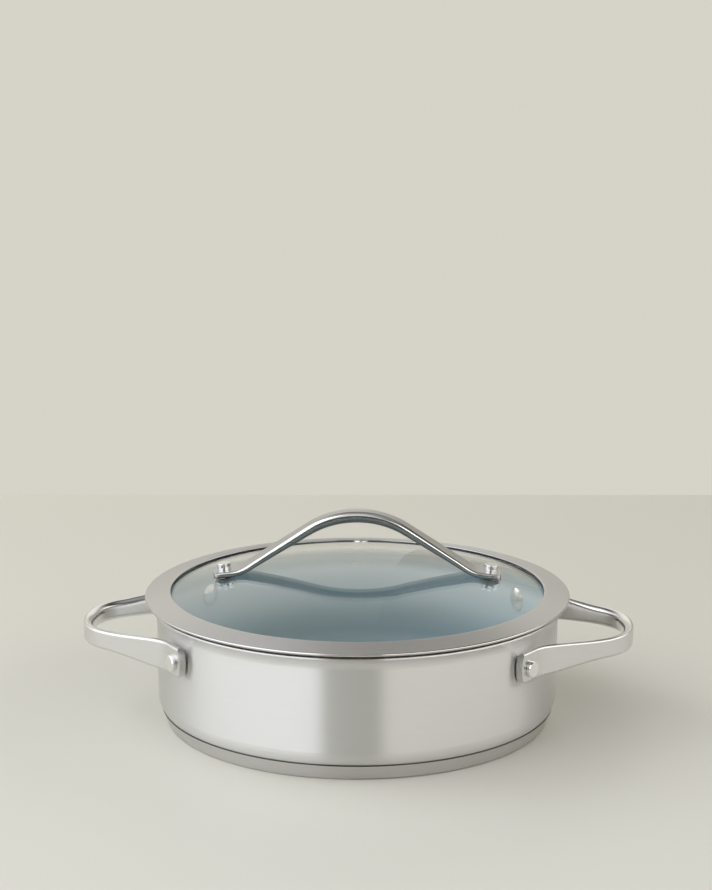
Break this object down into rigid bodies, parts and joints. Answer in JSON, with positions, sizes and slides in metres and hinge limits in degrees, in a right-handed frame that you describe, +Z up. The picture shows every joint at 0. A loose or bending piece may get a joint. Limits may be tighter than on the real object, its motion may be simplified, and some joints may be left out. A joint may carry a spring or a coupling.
{
  "type": "braiser",
  "caption": "Low round stainless braiser with a ceramic-lined pan, two riveted side handles and a lift-off domed glass lid with an arched handle.",
  "frame": {"origin": "centre of the base's flat underside, on the surface the pan stands on", "axes": "+Z up, +X through the right side handle, +Y away from the front"},
  "size_m": [0.3332, 0.256, 0.1268],
  "materials": {
    "pan_steel": "satin brushed round the wall",
    "base_steel": "satin brushed round the foot",
    "core_aluminium": "plain, sealed inside the base",
    "handle_steel": "satin outside, polished edges",
    "rivet_steel": "polished",
    "rim_steel": "satin brushed round the band",
    "ceramic": "smooth semi-gloss pale blue-grey",
    "lid_glass": "clear tempered",
    "gasket": "clear silicone"
  },
  "bodies": {
    "pan": {"pan_shell": "pan_steel", "ceramic_coating": "ceramic", "base_core": "core_aluminium", "base_cap": "base_steel", "right_side_handle": "handle_steel", "left_side_handle": "handle_steel", "right_handle_rivets": "rivet_steel", "left_handle_rivets": "rivet_steel"},
    "lid": {"lid_glass": "lid_glass", "lid_rim": "rim_steel", "lid_handle": "handle_steel", "lid_handle_bolts": "rivet_steel", "lid_handle_gaskets": "gasket", "lid_handle_washers": "gasket", "lid_handle_nuts": "rivet_steel", "vent_eyelet": "rivet_steel"}
  },
  "joints": [
    {"name": "lid_lift", "type": "slide", "parent": "pan", "child": "lid", "axis": [0, 0, 1], "range_m": [0, 0.12]}
  ]
}
